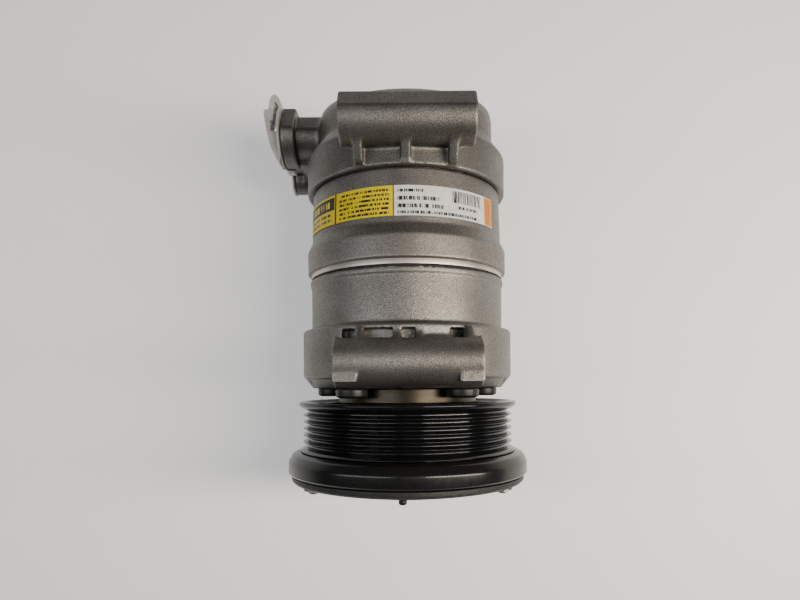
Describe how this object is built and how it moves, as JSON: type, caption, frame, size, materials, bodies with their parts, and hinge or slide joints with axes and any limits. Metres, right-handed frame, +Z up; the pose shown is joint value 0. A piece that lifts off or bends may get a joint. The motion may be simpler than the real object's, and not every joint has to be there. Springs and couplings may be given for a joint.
{
  "type": "automotive ac compressor",
  "caption": "Belt-driven automotive air-conditioning compressor with a grooved pulley and electromagnetic clutch, cast body, mounting tubes and capped port flange.",
  "frame": {"origin": "centre of the shaft's front end face", "axes": "+Y along the shaft from the clutch to the rear head, +Z up through the mounting tubes, the port flange faces -X"},
  "size_m": [0.1426, 0.2222, 0.1313],
  "materials": {
    "cast_aluminium": "as cast, shot blasted, speckled",
    "machined_steel": "machined",
    "black_paint": "semi-gloss black",
    "black_oxide": "dull black coating",
    "seal_rubber": "matte",
    "copper_wire": "enamelled copper winding",
    "black_plastic": "moulded",
    "brass": "turned",
    "piston_coating": "grey low-friction coating",
    "label_paper": "printed film",
    "cap_plastic": "translucent natural plastic"
  },
  "bodies": {
    "housing": {"front_head": "cast_aluminium", "cylinder_block": "cast_aluminium", "rear_head": "cast_aluminium", "port_flange": "cast_aluminium", "suction_reed": "machined_steel", "valve_plate": "machined_steel", "discharge_reed": "machined_steel", "head_gasket": "seal_rubber", "body_gasket": "seal_rubber", "through_bolt_1": "black_oxide", "through_bolt_2": "black_oxide", "through_bolt_3": "black_oxide", "through_bolt_4": "black_oxide", "through_bolt_5": "black_oxide", "coil_housing": "machined_steel", "coil_winding": "copper_wire", "coil_connector": "black_plastic", "pulley_bearing_inner": "machined_steel", "shaft_seal": "seal_rubber", "seal_retainer": "machined_steel", "front_bearing": "machined_steel", "rear_bearing": "machined_steel", "thrust_race": "machined_steel", "guide_rod": "machined_steel", "control_valve": "brass", "control_valve_clip": "machined_steel", "relief_valve": "brass", "label": "label_paper"},
    "shaft_group": {"shaft": "machined_steel", "shaft_key": "machined_steel", "shaft_nut": "machined_steel", "clutch_hub": "black_oxide", "drive_lug": "machined_steel", "journal": "machined_steel", "sleeve": "machined_steel", "return_spring": "machined_steel"},
    "pulley": {"pulley_rotor": "black_paint", "rim_band": "black_paint", "pulley_bearing_outer": "machined_steel"},
    "bearing_cage": {"bearing_balls_cage": "brass"},
    "armature": {"armature_plate": "black_oxide", "balance_pin": "black_oxide", "rivet_1": "machined_steel", "rivet_2": "machined_steel", "rivet_3": "machined_steel", "leaf_spring_1": "machined_steel", "leaf_spring_2": "machined_steel", "leaf_spring_3": "machined_steel"},
    "wobble": {"wobble_plate": "cast_aluminium"},
    "cap": {"shipping_cap": "cap_plastic"},
    "piston_set_1": {"connecting_rod_1": "machined_steel", "piston_1": "piston_coating"},
    "piston_set_2": {"connecting_rod_2": "machined_steel", "piston_2": "piston_coating"},
    "piston_set_3": {"connecting_rod_3": "machined_steel", "piston_3": "piston_coating"},
    "piston_set_4": {"connecting_rod_4": "machined_steel", "piston_4": "piston_coating"},
    "piston_set_5": {"connecting_rod_5": "machined_steel", "piston_5": "piston_coating"}
  },
  "joints": [
    {"name": "shaft_spin", "type": "hinge", "parent": "housing", "child": "shaft_group", "pos_m": [0, 0, 0], "axis": [0, 1, 0], "continuous": true},
    {"name": "pulley_spin", "type": "hinge", "parent": "housing", "child": "pulley", "pos_m": [0, 0.04, 0], "axis": [0, 1, 0], "continuous": true},
    {"name": "cage_spin", "type": "hinge", "parent": "housing", "child": "bearing_cage", "pos_m": [0, 0.04, 0], "axis": [0, 1, 0], "continuous": true},
    {"name": "clutch_engage", "type": "slide", "parent": "shaft_group", "child": "armature", "axis": [0, 1, 0], "range_m": [0, 0.0005], "stiffness_N_per_m": 6000, "springref_m": -0.0003},
    {"name": "plate_wobble", "type": "hinge", "parent": "shaft_group", "child": "wobble", "pos_m": [0, 0.101, 0], "axis": [0, 0.9954, 0.0958], "continuous": true},
    {"name": "cap_pull", "type": "slide", "parent": "housing", "child": "cap", "axis": [-1, 0, 0], "range_m": [0, 0.03]},
    {"name": "piston_1_turn", "type": "hinge", "parent": "wobble", "child": "piston_set_1", "pos_m": [0, 0.09813, 0.02986], "axis": [0, 0.9954, 0.0958], "continuous": true},
    {"name": "piston_2_turn", "type": "hinge", "parent": "wobble", "child": "piston_set_2", "pos_m": [0.02853, 0.10011, 0.00923], "axis": [0, 0.9954, 0.0958], "continuous": true},
    {"name": "piston_3_turn", "type": "hinge", "parent": "wobble", "child": "piston_set_3", "pos_m": [0.01763, 0.10333, -0.02416], "axis": [0, 0.9954, 0.0958], "continuous": true},
    {"name": "piston_4_turn", "type": "hinge", "parent": "wobble", "child": "piston_set_4", "pos_m": [-0.01763, 0.10333, -0.02416], "axis": [0, 0.9954, 0.0958], "continuous": true},
    {"name": "piston_5_turn", "type": "hinge", "parent": "wobble", "child": "piston_set_5", "pos_m": [-0.02853, 0.10011, 0.00923], "axis": [0, 0.9954, 0.0958], "continuous": true}
  ],
  "couplings": [
    {"joint": "cage_spin", "follows": "pulley_spin", "ratio": 0.46},
    {"joint": "plate_wobble", "follows": "shaft_spin", "ratio": -1},
    {"joint": "piston_1_turn", "follows": "shaft_spin", "ratio": 1},
    {"joint": "piston_2_turn", "follows": "shaft_spin", "ratio": 1},
    {"joint": "piston_3_turn", "follows": "shaft_spin", "ratio": 1},
    {"joint": "piston_4_turn", "follows": "shaft_spin", "ratio": 1},
    {"joint": "piston_5_turn", "follows": "shaft_spin", "ratio": 1}
  ]
}
